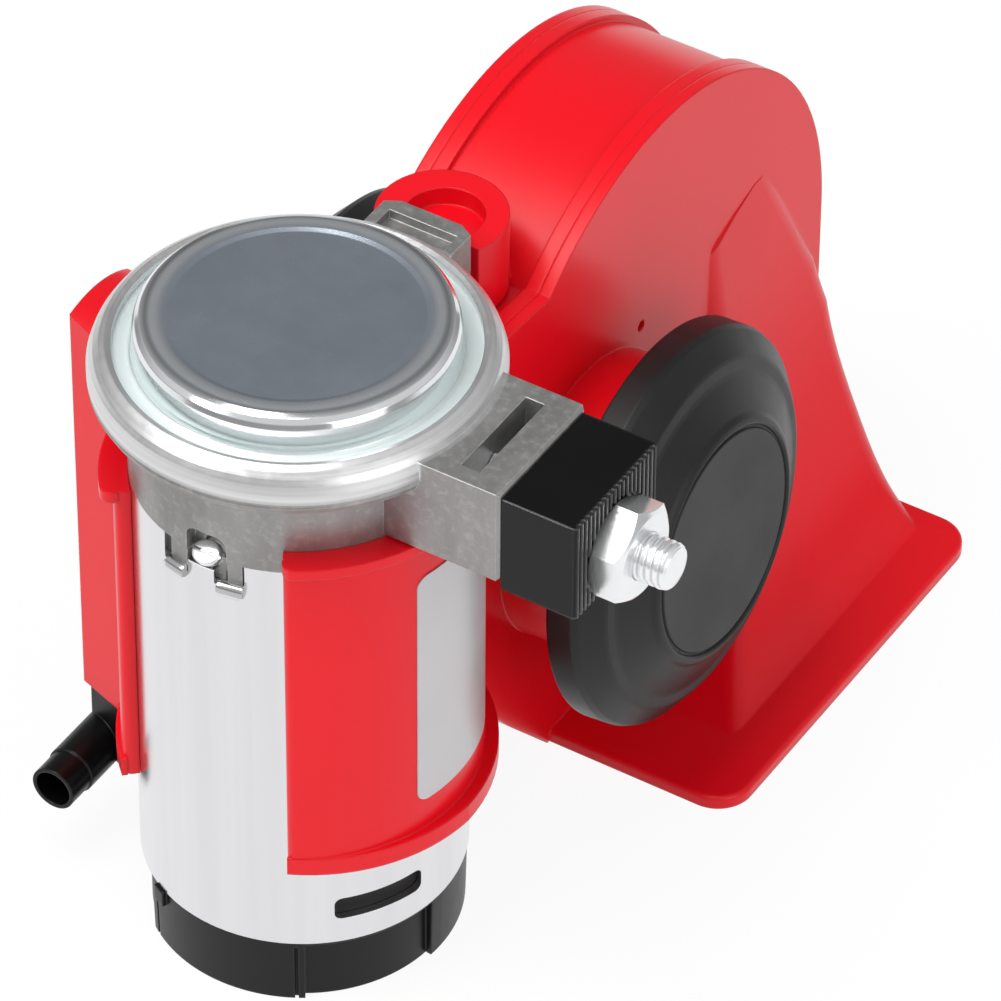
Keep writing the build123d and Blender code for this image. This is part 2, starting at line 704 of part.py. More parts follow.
parts = {
    "motor_can": motor_can(),
    "bottom_cap": bottom_cap(),
    "terminal_front": terminal(-1),
    "terminal_rear": terminal(1),
    "motor_shaft": motor_shaft(),
    "armature_core": armature_core(),
    "armature_winding": armature_winding(),
    "commutator": commutator(),
    "magnet_left": magnet(180),
    "magnet_right": magnet(0),
    "brush_holder": brush_holder(),
    "brush_left": brush(180),
    "brush_right": brush(0),
    "lower_bush": tube(5.0 - slip, shaft_radius + running, cap_height + 3.5, cap_height + 10.7),
    "upper_bush": tube(5.5, shaft_radius + running, bush_low + 0.1, bush_high - 0.1),
    "head_casting": head_casting(),
    "head_screw_front": head_screw(screw_angle),
    "head_screw_rear": head_screw(screw_angle + 180),
    "pump_wheel": pump_wheel(),
    "pump_plate": rod(rim_radius - 2.2, plate_low, gasket_low),
    "lid_gasket": tube(rim_radius - 2.2, crown_radius + 1.0, gasket_low, lid_low),
    "pump_lid": pump_lid(),
    "mounting_block": mounting_block(),
    "mounting_bolt": mounting_bolt(),
    "mounting_nut": mounting_nut(),
    "horn_body": horn_body(),
    "outlet_seal": rod_y(4.25, spine_front + 9, spine_front + 10.5, 0, port_z)
    - rod_y(3.02, spine_front + 8, spine_front + 12, 0, port_z),
    "intake_elbow": intake_elbow(),
    "intake_filter": intake_filter(),
    "label": label(),
}
sides = {
    "horn_cover": horn_cover(),
    "diaphragm": diaphragm(),
    "clamp_ring": clamp_ring(),
    "disc_cover": disc_cover(),
}
for name, shape in sides.items():
    parts[name + "_right"] = shape
    parts[name + "_left"] = mirror(shape, Plane.YZ)

boxes = [shape.bounding_box() for shape in parts.values()]
low_x = min(b.min.X for b in boxes)
high_x = max(b.max.X for b in boxes)
low_y = min(b.min.Y for b in boxes)
high_y = max(b.max.Y for b in boxes)
shift = Pos(-(low_x + high_x) / 2, -(low_y + high_y) / 2, 0)

os.makedirs("parts", exist_ok=True)
for name, shape in parts.items():
    export_step(shift * shape, os.path.join("parts", name + ".step"))
print("moved by", -(low_x + high_x) / 2, -(low_y + high_y) / 2)
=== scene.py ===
from math import cos, pi, radians, sin

import bpy
from mathutils import Matrix, Vector


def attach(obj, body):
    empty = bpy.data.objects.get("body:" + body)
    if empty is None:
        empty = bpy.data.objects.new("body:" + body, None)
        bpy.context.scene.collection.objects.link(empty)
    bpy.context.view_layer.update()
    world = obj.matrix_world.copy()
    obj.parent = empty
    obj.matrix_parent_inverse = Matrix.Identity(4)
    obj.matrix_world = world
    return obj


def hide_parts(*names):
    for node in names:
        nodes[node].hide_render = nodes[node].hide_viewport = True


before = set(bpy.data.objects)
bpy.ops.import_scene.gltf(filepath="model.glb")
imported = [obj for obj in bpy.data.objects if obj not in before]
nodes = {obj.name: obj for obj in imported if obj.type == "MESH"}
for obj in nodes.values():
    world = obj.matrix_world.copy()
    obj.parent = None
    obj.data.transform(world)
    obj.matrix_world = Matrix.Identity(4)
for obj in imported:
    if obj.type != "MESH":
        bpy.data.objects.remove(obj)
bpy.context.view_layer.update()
still = "horn"  # the body that doesn't turn
mm = 0.001
axisPlace = Vector((-9.1, -52.65, 0)) * mm  # foot of the compressor's axis
print("frame loaded:", len(nodes), "nodes")


def deselectAll():
    if bpy.context.object and bpy.context.object.mode != "OBJECT":
        bpy.ops.object.mode_set(mode="OBJECT")
    bpy.ops.object.select_all(action="DESELECT")


def pick(piece):
    deselectAll()
    piece.select_set(True)
    bpy.context.view_layer.objects.active = piece


def freeze():
    bpy.ops.object.transform_apply(location=True, rotation=True, scale=True)


def newMaterial(name):
    made = bpy.data.materials.new(name)
    made.use_nodes = True
    shader = made.node_tree.nodes["Principled BSDF"]
    return made, made.node_tree, shader


def link(tree, outSocket, inSocket):
    tree.links.new(outSocket, inSocket)


def objectPoint(tree, stretch=(1, 1, 1), turn=(0, 0, 0), centre=(0, 0, 0)):
    coords = tree.nodes.new("ShaderNodeTexCoord")
    mapping = tree.nodes.new("ShaderNodeMapping")
    mapping.inputs["Scale"].default_value = stretch
    mapping.inputs["Rotation"].default_value = turn
    mapping.inputs["Location"].default_value = tuple(-c * s for c, s in zip(centre, stretch))
    link(tree, coords.outputs["Object"], mapping.inputs["Vector"])
    return mapping.outputs["Vector"]


def noise(tree, point, scale, detail=3.0, roughness=0.5, distortion=0.0):
    made = tree.nodes.new("ShaderNodeTexNoise")
    made.inputs["Scale"].default_value = scale
    made.inputs["Detail"].default_value = detail
    made.inputs["Roughness"].default_value = roughness
    made.inputs["Distortion"].default_value = distortion
    link(tree, point, made.inputs["Vector"])
    return made.outputs["Fac"]


def ramp(tree, source, low, high, start, end):
    made = tree.nodes.new("ShaderNodeMapRange")
    made.inputs["From Min"].default_value = low
    made.inputs["From Max"].default_value = high
    made.inputs["To Min"].default_value = start
    made.inputs["To Max"].default_value = end
    link(tree, source, made.inputs["Value"])
    return made.outputs["Result"]


def step(tree, source, edge, soft, start=0, end=1):
    return ramp(tree, source, edge - soft, edge + soft, start, end)


def calc(tree, operation, first, second=None):
    made = tree.nodes.new("ShaderNodeMath")
    made.operation = operation
    for socket, value in zip(made.inputs, (first, second)):
        if isinstance(value, (int, float)):
            socket.default_value = value
        elif value is not None:
            link(tree, value, socket)
    return made.outputs["Value"]


def times(tree, first, second):
    return calc(tree, "MULTIPLY", first, second)


def blendColour(tree, factor, first, second):
    made = tree.nodes.new("ShaderNodeMix")
    made.data_type = "RGBA"
    for socket, colour in (("A", first), ("B", second)):
        if isinstance(colour, tuple):
            made.inputs[socket].default_value = (*colour, 1)
        else:
            link(tree, colour, made.inputs[socket])
    link(tree, factor, made.inputs["Factor"])
    return made.outputs["Result"]


def softEdge(tree, radius):
    made = tree.nodes.new("ShaderNodeBevel")
    made.samples = 6
    made.inputs["Radius"].default_value = radius
    return made.outputs["Normal"]


# 0 on flat ground, 1 where the rounded normal leaves the face's own
# it marks rubbed and chipped edges, and on the red the painted edge highlight
def edgeWearAndSheen(tree, edge, low=0.02, high=0.25):
    surface = tree.nodes.new("ShaderNodeNewGeometry")
    dot = tree.nodes.new("ShaderNodeVectorMath")
    dot.operation = "DOT_PRODUCT"
    link(tree, edge, dot.inputs[0])
    link(tree, surface.outputs["Normal"], dot.inputs[1])
    return ramp(tree, calc(tree, "SUBTRACT", 1.0, dot.outputs["Value"]), low, high, 0, 1)


def bump(tree, height, strength, distance, normal=None):
    made = tree.nodes.new("ShaderNodeBump")
    made.inputs["Strength"].default_value = strength
    made.inputs["Distance"].default_value = distance
    link(tree, height, made.inputs["Height"])
    if normal is not None:
        link(tree, normal, made.inputs["Normal"])
    return made.outputs["Normal"]


def awayFromAxis(tree, point):
    parts = tree.nodes.new("ShaderNodeSeparateXYZ")
    link(tree, point, parts.inputs["Vector"])
    across = times(tree, parts.outputs["X"], parts.outputs["X"])
    along = times(tree, parts.outputs["Y"], parts.outputs["Y"])
    return calc(tree, "SQRT", calc(tree, "ADD", across, along)), parts.outputs["Z"]


def band(tree, source, low, high, soft):
    return times(tree, step(tree, source, low, soft), step(tree, source, high, soft, 1, 0))


# With roughness patterns that crossed about 0.27 fine wavy lines were rendered on the red, so the
# red, the rolled edge and the label stay above it.
# the lighter red given for the edges of the red is a painted highlight
redLook = dict(deep=(0.70, 0.002, 0.009), bright=(0.77, 0.003, 0.012), cloudScale=22,
               paintedEdgeHighlight=(0.84, 0.012, 0.024), wearAndSheen=0.5, edge=0.6 * mm, gloss=0.29,
               smearScale=60, smoothest=0.28, roughest=0.32,
               grainScale=2400, grainStrength=0.02, grainHeight=0.01 * mm)


def redPlastic():
    made, tree, shader = newMaterial("redPlastic")
    point = objectPoint(tree)
    cloud = noise(tree, point, redLook["cloudScale"], 2)
    edge = softEdge(tree, redLook["edge"])
    colour = blendColour(tree, ramp(tree, cloud, 0.1, 0.9, 0, 1), redLook["deep"],
                         redLook["bright"])
    # painted highlight: the rounded edges of the red are painted a lighter red
    paintedEdgeHighlight = times(tree, edgeWearAndSheen(tree, edge), redLook["wearAndSheen"])
    link(tree, blendColour(tree, paintedEdgeHighlight, colour, redLook["paintedEdgeHighlight"]), shader.inputs["Base Color"])
    smear = noise(tree, point, redLook["smearScale"], 2, 0.5)
    link(tree, ramp(tree, smear, 0, 1, redLook["smoothest"], redLook["roughest"]),
         shader.inputs["Roughness"])
    grain = noise(tree, point, redLook["grainScale"], 1)
    link(tree, bump(tree, grain, redLook["grainStrength"], redLook["grainHeight"], edge),
         shader.inputs["Normal"])
    shader.inputs["Specular IOR Level"].default_value = redLook["gloss"]
    return made


blackLook = dict(smearScale=60, tint=(1, 1, 1.03), lifted=(1.4, 1.4, 1.45), paleLift=3,
                 paleFloor=0.01, wearAndSheen=0.5, smoother=0.05, rougher=0.07, edgePolish=0.04,
                 grainHeight=0.03 * mm)
blackFinishes = {
    "block": dict(name="blockPlastic", tone=0.0011, rough=0.2, grainScale=1300, grainStrength=0.03,
                  edge=0.7 * mm, gloss=0.25, edgeGloss=1.0),
    "black": dict(name="blackPlastic", tone=0.002, rough=0.33, grainScale=1300, grainStrength=0.04,
                  edge=0.4 * mm, gloss=0.2, edgeGloss=0.4),
    "cap": dict(name="capPlastic", tone=0.004, rough=0.34, grainScale=1100, grainStrength=0.05,
                edge=0.5 * mm, gloss=0.24, edgeGloss=0.4),
    "disc": dict(name="discPlastic", tone=0.008, rough=0.40, grainScale=900, grainStrength=0.05,
                 edge=0.6 * mm, gloss=0.3, edgeGloss=0.4),
}


def blackPlastic(name, tone, rough, grainScale, grainStrength, edge, gloss, edgeGloss):
    made, tree, shader = newMaterial(name)
    point = objectPoint(tree)
    grain = noise(tree, point, grainScale, 3)
    smear = noise(tree, point, blackLook["smearScale"], 4, 0.6)
    rounded = softEdge(tree, edge)
    dark, lifted = (tuple(tone * share for share in blackLook[key]) for key in ("tint", "lifted"))
    pale = (tone * blackLook["paleLift"] + blackLook["paleFloor"],) * 3
    colour = blendColour(tree, ramp(tree, smear, 0.35, 0.7, 0, 1), dark, lifted)
    rubbed = edgeWearAndSheen(tree, rounded)
    link(tree, blendColour(tree, times(tree, rubbed, blackLook["wearAndSheen"]), colour, pale),
         shader.inputs["Base Color"])
    link(tree, ramp(tree, rubbed, 0, 1, gloss, edgeGloss), shader.inputs["Specular IOR Level"])
    matt = ramp(tree, smear, 0.3, 0.7, rough - blackLook["smoother"], rough + blackLook["rougher"])
    link(tree, calc(tree, "SUBTRACT", matt, times(tree, rubbed, blackLook["edgePolish"])),
         shader.inputs["Roughness"])
    link(tree, bump(tree, grain, grainStrength, blackLook["grainHeight"], rounded),
         shader.inputs["Normal"])
    return made


castLook = dict(dark=(0.24, 0.235, 0.232), light=(0.36, 0.355, 0.35), edge=(0.70, 0.70, 0.69),
                burnished=(0.78, 0.78, 0.79), edgeRadius=0.3 * mm,
                skinScale=620, flowScale=90, nickScale=330, ringScale=1500,
                marksLow=108.6 * mm, marksHigh=111.8 * mm, marksShade=0.6, marksHeight=0.25 * mm,
                neckRadius=31.5 * mm, rollRadius=27.2 * mm, rollOuter=33.2 * mm, rollLow=112.7 * mm,
                smoothest=0.36, roughest=0.50, rollPolish=0.08, rollCalm=0.12,
                pitStrength=0.2, pitHeight=0.06 * mm)


def castMetal():
    made, tree, shader = newMaterial("castMetal")
    point = objectPoint(tree, centre=axisPlace)
    skin = noise(tree, point, castLook["skinScale"], 5, 0.68)
    flow = noise(tree, objectPoint(tree, (1, 1, 0.35)), castLook["flowScale"], 5, 0.65, 0.4)
    rounded = softEdge(tree, castLook["edgeRadius"])
    mottled = blendColour(tree, ramp(tree, flow, 0.3, 0.72, 0, 1), castLook["dark"],
                          castLook["light"])
    speckled = blendColour(tree, ramp(tree, skin, 0.5, 0.8, 0, 0.35), mottled, castLook["edge"])
    distance, height = awayFromAxis(tree, point)
    # nicks of the crimping tool, in a band round the neck
    nicks = noise(tree, objectPoint(tree, (1, 1, 1.6)), castLook["nickScale"], 4, 0.75, 1.2)
    belt = band(tree, height, castLook["marksLow"], castLook["marksHigh"], 0.5 * mm)
    crimped = times(tree, step(tree, distance, castLook["neckRadius"], 1 * mm, 1, 0),
                    times(tree, belt, ramp(tree, nicks, 0.48, 0.6, 0, 1)))
    # the rolled edge round the lid, burnished in rings
    ringZone = times(tree, step(tree, distance, castLook["rollOuter"], 0.2 * mm, 1, 0),
                     step(tree, height, castLook["rollLow"], 0.7 * mm))
    roll = times(tree, step(tree, distance, castLook["rollRadius"], 0.3 * mm), ringZone)
    rings = tree.nodes.new("ShaderNodeCombineXYZ")
    link(tree, distance, rings.inputs["X"])
    link(tree, height, rings.inputs["Y"])
    drawn = noise(tree, rings.outputs["Vector"], castLook["ringScale"], 3, 0.6)
    scuffed = times(tree, roll, ramp(tree, drawn, 0.3, 0.7, 0.72, 1.0))
    colour = blendColour(tree, times(tree, crimped, castLook["marksShade"]), speckled,
                         castLook["edge"])
    colour = blendColour(tree, scuffed, colour, castLook["burnished"])
    chipped = times(tree, edgeWearAndSheen(tree, rounded, 0.03, 0.2), ramp(tree, skin, 0.35, 0.6, 0.4, 1))
    link(tree, blendColour(tree, chipped, colour, castLook["edge"]), shader.inputs["Base Color"])
    link(tree, ramp(tree, roll, 0, 1, 0.75, 0.97), shader.inputs["Metallic"])
    rough = ramp(tree, skin, 0.3, 0.7, castLook["smoothest"], castLook["roughest"])
    link(tree, calc(tree, "SUBTRACT", rough, times(tree, roll, castLook["rollPolish"])),
         shader.inputs["Roughness"])
    calm = times(tree, skin, ramp(tree, roll, 0, 1, 1, castLook["rollCalm"]))
    pitted = bump(tree, calm, castLook["pitStrength"], castLook["pitHeight"], rounded)
    link(tree, bump(tree, crimped, 0.6, castLook["marksHeight"], pitted), shader.inputs["Normal"])
    return made


metalLook = dict(cloudScale=55, grainScale=900, grainHeight=0.03 * mm, smoother=0.03, rougher=0.06)
metalFinishes = {
    "can": dict(name="canSteel", colour=(0.77, 0.77, 0.79), rough=0.2, patch=0.05,
                grainStrength=0.01, edge=0.2 * mm, stretch=(1.7, 1.7, 0.04)),  # drawn upwards
    "zinc": dict(name="zincPlate", colour=(0.86, 0.87, 0.88), rough=0.2, metallic=0.82, patch=0.05,
                 grainStrength=0.04, edge=0.25 * mm),
    "steel": dict(name="brightSteel", colour=(0.72, 0.72, 0.74), rough=0.2),
    "lip": dict(name="lipSteel", colour=(0.50, 0.50, 0.50), rough=0.16),
    "lamination": dict(name="lamination", colour=(0.25, 0.25, 0.26), rough=0.5),
    "copper": dict(name="copper", colour=(0.72, 0.34, 0.18), rough=0.3),
    "bronze": dict(name="bronze", colour=(0.50, 0.34, 0.16), rough=0.4),
    "tin": dict(name="tinnedBrass", colour=(0.72, 0.68, 0.55), rough=0.3),
}


def sheetMetal(name, colour, rough, metallic=1.0, patch=0.08, grainStrength=0.05, edge=0.15 * mm,
               stretch=(1, 1, 1)):
    made, tree, shader = newMaterial(name)
    point = objectPoint(tree, stretch)
    cloud = noise(tree, point, metalLook["cloudScale"], 4, 0.65)
    darker = tuple(c * (1 - patch) for c in colour)
    lighter = tuple(min(1, c * (1 + patch)) for c in colour)
    link(tree, blendColour(tree, ramp(tree, cloud, 0.35, 0.68, 0, 1), darker, lighter),
         shader.inputs["Base Color"])
    shader.inputs["Metallic"].default_value = metallic
    smoothest, roughest = rough - metalLook["smoother"], rough + metalLook["rougher"]
    link(tree, ramp(tree, cloud, 0.3, 0.7, smoothest, roughest), shader.inputs["Roughness"])
    fine = noise(tree, point, metalLook["grainScale"], 3)
    link(tree, bump(tree, fine, grainStrength, metalLook["grainHeight"], softEdge(tree, edge)),
         shader.inputs["Normal"])
    return made


# the tones of the three rings between the plateau and the cove are painted reflections
lidLook = dict(plateau=(0.50, 0.565, 0.66), patch=(0.57, 0.63, 0.71), paintedLightRing=(0.86, 0.90, 0.93),
               paintedDarkRing=(0.42, 0.44, 0.46), wall=(0.82, 0.84, 0.85), cove=(0.74, 0.82, 0.81),
               plateauRadius=21.5 * mm, slopeRadius=23.3 * mm, shoulderRadius=24.2 * mm,
               crownRadius=26.2 * mm, coveMetallic=0.45, cloudScale=45, scratchScale=260,
               smoothest=0.17, roughest=0.26, wallPolish=0.10, scratchRough=0.12, coveRough=0.32,
               dentScale=60, dentStrength=0.10, dentHeight=0.1 * mm, edgeRadius=0.3 * mm,
               grainScale=900, grainStrength=0.04, grainHeight=0.03 * mm)


def platedLid():
    made, tree, shader = newMaterial("lidZinc")
    point = objectPoint(tree, centre=axisPlace)
    distance, _ = awayFromAxis(tree, point)
    cloud = noise(tree, point, lidLook["cloudScale"], 4, 0.65)
    colour = blendColour(tree, ramp(tree, cloud, 0.35, 0.68, 0, 1), lidLook["plateau"],
                         lidLook["patch"])
    # each ring's tone starts at the radius given, going outwards
    # the first three tones are painted reflections, light, dark and light; the cove's is the lid's
    # own
    rings = [
        ("paintedLightRing", "plateauRadius", 0.7 * mm),
        ("paintedDarkRing", "slopeRadius", 0.4 * mm),
        ("wall", "shoulderRadius", 0.4 * mm),
        ("cove", "crownRadius", 0.4 * mm),
    ]
    for tone, edge, soft in rings:
        colour = blendColour(tree, step(tree, distance, lidLook[edge], soft), colour, lidLook[tone])
    link(tree, colour, shader.inputs["Base Color"])
    cove = step(tree, distance, lidLook["crownRadius"], 0.3 * mm)
    link(tree, ramp(tree, cove, 0, 1, 1.0, lidLook["coveMetallic"]), shader.inputs["Metallic"])
    brushed = objectPoint(tree, (1, 9, 1), (0, 0, 0.7))
    scratches = noise(tree, brushed, lidLook["scratchScale"], 3, 0.7)
    base = ramp(tree, cloud, 0.3, 0.7, lidLook["smoothest"], lidLook["roughest"])
    wall = band(tree, distance, lidLook["slopeRadius"], lidLook["crownRadius"], 0.3 * mm)
    smooth = calc(tree, "SUBTRACT", base, times(tree, wall, lidLook["wallPolish"]))
    scored = ramp(tree, scratches, 0.62, 0.75, 0, lidLook["scratchRough"])
    rubbed = calc(tree, "ADD", smooth, scored)
    link(tree, calc(tree, "ADD", rubbed, times(tree, cove, lidLook["coveRough"])),
         shader.inputs["Roughness"])
    fine = noise(tree, point, lidLook["grainScale"], 3)
    dents = bump(tree, noise(tree, point, lidLook["dentScale"], 2), lidLook["dentStrength"],
                 lidLook["dentHeight"], softEdge(tree, lidLook["edgeRadius"]))
    link(tree, bump(tree, fine, lidLook["grainStrength"], lidLook["grainHeight"], dents),
         shader.inputs["Normal"])
    return made


filmLook = dict(dark=(0.50, 0.49, 0.50), light=(0.57, 0.56, 0.57), metallic=0.35, cloudScale=80,
                smoothest=0.29, roughest=0.4, wrinkleScale=400, wrinkleStrength=0.05,
                wrinkleHeight=0.05 * mm)


def labelFilm():
    made, tree, shader = newMaterial("labelFilm")
    point = objectPoint(tree)
    cloud = noise(tree, point, filmLook["cloudScale"], 3)
    link(tree, blendColour(tree, cloud, filmLook["dark"], filmLook["light"]),
         shader.inputs["Base Color"])
    shader.inputs["Metallic"].default_value = filmLook["metallic"]
    link(tree, ramp(tree, cloud, 0.3, 0.7, filmLook["smoothest"], filmLook["roughest"]),
         shader.inputs["Roughness"])
    wrinkles = noise(tree, point, filmLook["wrinkleScale"], 2)
    link(tree, bump(tree, wrinkles, filmLook["wrinkleStrength"], filmLook["wrinkleHeight"]),
         shader.inputs["Normal"])
    return made


softFinishes = {
    "ferrite": dict(name="ferrite", dark=(0.02, 0.02, 0.022), light=(0.05, 0.05, 0.055),
                    rough=0.7, scale=600, strength=0.3),
    "carbon": dict(name="carbon", dark=(0.015,) * 3, light=(0.03,) * 3, rough=0.8, scale=900,
                   strength=0.3),
    "rubber": dict(name="sealRubber", dark=(0.01,) * 3, light=(0.03,) * 3, rough=0.6, scale=700,
                   strength=0.3),
    "foam": dict(name="filterFoam", dark=(0.02,) * 3, light=(0.12,) * 3, rough=0.95, scale=900,
                 strength=1.0),
}


def softStuff(name, dark, light, rough, scale, strength):
    made, tree, shader = newMaterial(name)
    grain = noise(tree, objectPoint(tree), scale, 4, 0.7)
    link(tree, blendColour(tree, ramp(tree, grain, 0.35, 0.65, 0, 1), dark, light),
         shader.inputs["Base Color"])
    shader.inputs["Roughness"].default_value = rough
    link(tree, bump(tree, grain, strength, 0.2 * mm), shader.inputs["Normal"])
    return made


looks = {"red": redPlastic(), "cast": castMetal(), "lid": platedLid(), "label": labelFilm()}
for finishes, maker in ((blackFinishes, blackPlastic), (metalFinishes, sheetMetal),
                        (softFinishes, softStuff)):
    for look, values in finishes.items():
        looks[look] = maker(**values)

wearing = {
    "red": ("horn_body", "horn_cover_right", "horn_cover_left"),
    "block": ("mounting_block",),
    "black": ("intake_elbow", "brush_holder", "clamp_ring_right", "clamp_ring_left", "pump_wheel"),
    "cap": ("bottom_cap",),
    "disc": ("disc_cover_right", "disc_cover_left"),
    "cast": ("head_casting",),
    "can": ("motor_can",),
    "lid": ("pump_lid",),
    "zinc": ("mounting_bolt", "mounting_nut"),
    "steel": ("head_screw_front", "head_screw_rear", "motor_shaft", "pump_plate",
              "diaphragm_right", "diaphragm_left"),
    "lamination": ("armature_core",),
    "copper": ("armature_winding", "commutator"),
    "bronze": ("lower_bush", "upper_bush"),
    "tin": ("terminal_front", "terminal_rear"),
    "ferrite": ("magnet_left", "magnet_right"),
    "carbon": ("brush_left", "brush_right"),
    "rubber": ("lid_gasket", "outlet_seal"),
    "foam": ("intake_filter",),
    "label": ("label",),
}
for look, names in wearing.items():
    for name in names:
        nodes[name].data.materials.clear()
        nodes[name].data.materials.append(looks[look])
print("materials given to", sum(len(names) for names in wearing.values()), "nodes")


def settle(piece, name, look):
    pick(piece)
    freeze()
    bpy.ops.object.mode_set(mode="EDIT")
    bpy.ops.mesh.select_all(action="SELECT")
    bpy.ops.mesh.remove_doubles(threshold=0.00001 * mm)
    bpy.ops.mesh.normals_make_consistent(inside=False)
    bpy.ops.object.mode_set(mode="OBJECT")
    piece.name = name
    piece.data.materials.clear()
    piece.data.materials.append(looks[look])
    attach(piece, still)


def applyAll(piece):
    pick(piece)
    for modifier in list(piece.modifiers):
        bpy.ops.object.modifier_apply(modifier=modifier.name)


def smoothBy(piece, degrees):
    pick(piece)
    bpy.ops.object.shade_smooth_by_angle(angle=radians(degrees))


def selectFaces(piece, test):
    bpy.ops.object.mode_set(mode="EDIT")
    bpy.ops.mesh.select_mode(type="FACE")
    bpy.ops.mesh.select_all(action="DESELECT")
    bpy.ops.object.mode_set(mode="OBJECT")
    for face in piece.data.polygons:
        face.select = test(face)
    bpy.ops.object.mode_set(mode="EDIT")


def combine(piece, tool, operation):
    change = piece.modifiers.new("change", "BOOLEAN")
    change.operation = operation
    change.solver = "EXACT"
    change.object = tool
    applyAll(piece)
    bpy.data.objects.remove(tool)


# The stud's line runs along x at this y and z. The laps let its lengths run into each other.
stud = dict(y=-52.65 * mm, z=103.4 * mm, headStart=26.95 * mm, headDepth=3.1 * mm,
            headAcross=14.2 * mm, nutEnd=54.7 * mm, tip=59.9 * mm, root=3.45 * mm,
            crest=3.96 * mm, shank=3.6 * mm, shankSides=48, chamfer=0.95 * mm,
            rootChamfer=0.12 * mm, threadLap=1.0 * mm, rootLap=2.0 * mm, headLap=1.0 * mm,
            shankLap=0.2 * mm, smoothUnder=34)
thread = dict(pitch=1.25 * mm, turns=7, steps=40, sides=8, ridge=0.55 * mm, sink=0.05 * mm,
              flatten=0.95, overrun=0.6 * mm)


def rodAlongX(radius, start, end, sides=64):
    deselectAll()
    bpy.ops.mesh.primitive_cylinder_add(
        vertices=sides, radius=radius, depth=end - start,
        location=((start + end) / 2, stud["y"], stud["z"]), rotation=(0, pi / 2, 0))
    rod = bpy.context.object
    freeze()
    return rod


def hexAlongX(across, start, end):
    return rodAlongX(across / 2 / cos(pi / 6), start, end, 6)


def chamferTip(rod, width):
    selectFaces(rod, lambda face: face.normal.x > 0.9)
    bpy.ops.mesh.bevel(offset=width, segments=2, affect="EDGES")
    bpy.ops.object.mode_set(mode="OBJECT")


def turnAboutStud(piece, angle):
    centre = Matrix.Translation((0, stud["y"], stud["z"]))
    turn = centre @ Matrix.Rotation(angle, 4, "X") @ centre.inverted()
    piece.matrix_world = turn @ piece.matrix_world
    pick(piece)
    freeze()


def makeThread():
    deselectAll()
    bpy.ops.mesh.primitive_circle_add(
        vertices=thread["sides"], radius=thread["ridge"], fill_type="NOTHING",
        location=(0, 0, stud["root"] + thread["sink"]), rotation=(pi / 2, 0, 0))
    ridge = bpy.context.object
    ridge.scale = (1.0, 1.0, thread["flatten"])
    freeze()
    winding = ridge.modifiers.new("winding", "SCREW")
    winding.axis = "X"
    winding.angle = 2 * pi
    winding.iterations = thread["turns"]
    winding.screw_offset = thread["pitch"]
    winding.steps = thread["steps"]
    winding.render_steps = thread["steps"]
    winding.use_merge_vertices = False
    applyAll(ridge)
    # close the two ends of the winding
    bpy.ops.object.mode_set(mode="EDIT")
    bpy.ops.mesh.select_mode(type="EDGE")
    bpy.ops.mesh.select_all(action="DESELECT")
    bpy.ops.mesh.select_non_manifold()
    bpy.ops.mesh.fill_holes(sides=12)
    bpy.ops.mesh.select_all(action="SELECT")
    bpy.ops.mesh.normals_make_consistent(inside=False)
    bpy.ops.object.mode_set(mode="OBJECT")
    start = stud["tip"] + thread["overrun"] - thread["turns"] * thread["pitch"]
    ridge.location = (start, stud["y"], stud["z"])
    pick(ridge)
    freeze()
    return ridge


def makeStud():
    envelope = rodAlongX(stud["crest"], stud["nutEnd"] - stud["threadLap"], stud["tip"])
    chamferTip(envelope, stud["chamfer"])
    core = rodAlongX(stud["root"], stud["nutEnd"] - stud["rootLap"], stud["tip"])
    chamferTip(core, stud["rootChamfer"])
    ridge = makeThread()
    combine(ridge, envelope, "INTERSECT")
    combine(core, ridge, "UNION")
    shank = rodAlongX(stud["shank"], stud["headStart"] + stud["headLap"],
                      stud["nutEnd"] - stud["shankLap"], stud["shankSides"])
    head = hexAlongX(stud["headAcross"], stud["headStart"], stud["headStart"] + stud["headDepth"])
    turnAboutStud(head, pi / 6)
    deselectAll()
    for part in (core, shank, head):
        part.select_set(True)
    bpy.context.view_layer.objects.active = core
    bpy.ops.object.join()
    settle(core, "threaded_stud", "zinc")
    smoothBy(core, stud["smoothUnder"])
    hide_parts("mounting_bolt")


nut = dict(start=48.3 * mm, end=54.5 * mm, across=15.0 * mm, turn=radians(35), face=6.9 * mm,
           fall=1.25 * mm, roundOver=1.02, roundSides=96, bore=3.72 * mm, boreSides=48,
           mouth=4.2 * mm, mouthStart=0.5 * mm, mouthDepth=0.6 * mm, smoothUnder=24)


def coneEnd(rod, side, width, scale):
    selectFaces(rod, lambda face: face.normal.x * side > 0.9)
    bpy.ops.mesh.extrude_region_move(TRANSFORM_OT_translate={"value": (side * width, 0, 0)})
    bpy.ops.transform.resize(value=(1, scale, scale), center_override=(0, stud["y"], stud["z"]))
    bpy.ops.object.mode_set(mode="OBJECT")


def coneBothEnds(rod, width, scale):
    for side in (1, -1):
        coneEnd(rod, side, width, scale)


def makeNut():
    body = hexAlongX(nut["across"], nut["start"], nut["end"])
    turnAboutStud(body, nut["turn"])
    # a turned blank, coned at both ends, takes the corners off
    blankRadius = nut["across"] / 2 / cos(pi / 6) * nut["roundOver"]
    blank = rodAlongX(blankRadius, nut["start"] + nut["fall"], nut["end"] - nut["fall"],
                      nut["roundSides"])
    coneBothEnds(blank, nut["fall"], nut["face"] / blankRadius)
    combine(body, blank, "INTERSECT")
    bore = rodAlongX(nut["bore"], nut["start"] + nut["mouthStart"], nut["end"] - nut["mouthStart"],
                     nut["boreSides"])
    coneBothEnds(bore, nut["mouthDepth"], nut["mouth"] / nut["bore"])
    combine(body, bore, "DIFFERENCE")
    settle(body, "hex_nut", "zinc")
    smoothBy(body, nut["smoothUnder"])
    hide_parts("mounting_nut")


